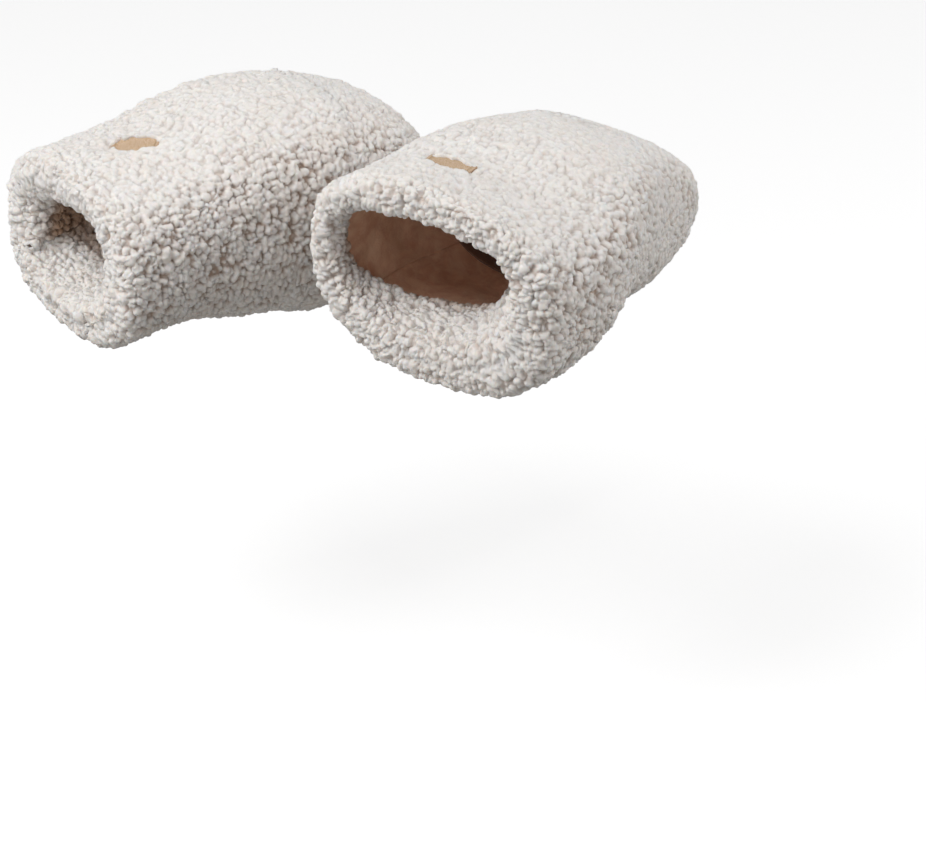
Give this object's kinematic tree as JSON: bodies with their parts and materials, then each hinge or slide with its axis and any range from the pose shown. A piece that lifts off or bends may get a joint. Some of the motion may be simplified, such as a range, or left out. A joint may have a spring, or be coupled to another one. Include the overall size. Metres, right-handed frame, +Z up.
{
  "type": "stroller hand muff",
  "caption": "Curly-fleece stroller hand muffs with rolled mouths, velvet lining, side openings for the handlebar, a press-studded front flap and a small leather label.",
  "frame": {"origin": "on the axis of the handlebar that carries the pair, midway between the muffs; the handlebar itself is not part of the object", "axes": "+X along the handlebar to the walker's right, +Y forward, the way the stroller goes, +Z up; the mouths open towards -Y"},
  "size_m": [0.466, 0.3466, 0.1682],
  "materials": {
    "fleece": "curly sheepskin-like pile, warm off-white, matt",
    "wadding": "soft white batting, hidden",
    "velvet": "short brown velvet with a soft sheen",
    "tab_cloth": "plain woven beige cloth",
    "label_leather": "tan grained leather, left bare",
    "thread": "tan sewing thread",
    "stud_metal": "warm satin metal"
  },
  "bodies": {
    "right_muff": {"right_closing_tab": "tab_cloth", "right_label": "label_leather", "right_label_stitch_inner": "thread", "right_label_stitch_outer": "thread", "right_lining_top": "velvet", "right_lining_under": "velvet", "right_mouth_facing": "fleece", "right_outer_top": "fleece", "right_outer_under": "fleece", "right_stud_back_1": "stud_metal", "right_stud_back_2": "stud_metal", "right_stud_back_3": "stud_metal", "right_stud_post_1": "stud_metal", "right_stud_post_2": "stud_metal", "right_stud_post_3": "stud_metal", "right_wadding_top": "wadding", "right_wadding_under": "wadding"},
    "right_flap": {"right_flap_lining": "velvet", "right_flap_outer": "fleece", "right_flap_wadding": "wadding", "right_stud_cap_1": "stud_metal", "right_stud_cap_2": "stud_metal", "right_stud_cap_3": "stud_metal", "right_stud_socket_1": "stud_metal", "right_stud_socket_2": "stud_metal", "right_stud_socket_3": "stud_metal"},
    "left_muff": {"left_closing_tab": "tab_cloth", "left_label": "label_leather", "left_label_stitch_inner": "thread", "left_label_stitch_outer": "thread", "left_lining_top": "velvet", "left_lining_under": "velvet", "left_mouth_facing": "fleece", "left_outer_top": "fleece", "left_outer_under": "fleece", "left_stud_back_1": "stud_metal", "left_stud_back_2": "stud_metal", "left_stud_back_3": "stud_metal", "left_stud_post_1": "stud_metal", "left_stud_post_2": "stud_metal", "left_stud_post_3": "stud_metal", "left_wadding_top": "wadding", "left_wadding_under": "wadding"},
    "left_flap": {"left_flap_lining": "velvet", "left_flap_outer": "fleece", "left_flap_wadding": "wadding", "left_stud_cap_1": "stud_metal", "left_stud_cap_2": "stud_metal", "left_stud_cap_3": "stud_metal", "left_stud_socket_1": "stud_metal", "left_stud_socket_2": "stud_metal", "left_stud_socket_3": "stud_metal"}
  },
  "joints": [
    {"name": "left_muff_slide", "type": "slide", "parent": "right_muff", "child": "left_muff", "axis": [1, 0, 0], "range_m": [-0.09, 0.012]},
    {"name": "right_flap_fold", "type": "hinge", "parent": "right_muff", "child": "right_flap", "pos_m": [0.12274, 0.0759, 0.08468], "axis": [0.9935, 0.0069, -0.1132], "range_deg": [0, 115]},
    {"name": "left_flap_fold", "type": "hinge", "parent": "left_muff", "child": "left_flap", "pos_m": [-0.09229, 0.02448, 0.08995], "axis": [0.9134, -0.401, 0.0698], "range_deg": [0, 115]}
  ]
}
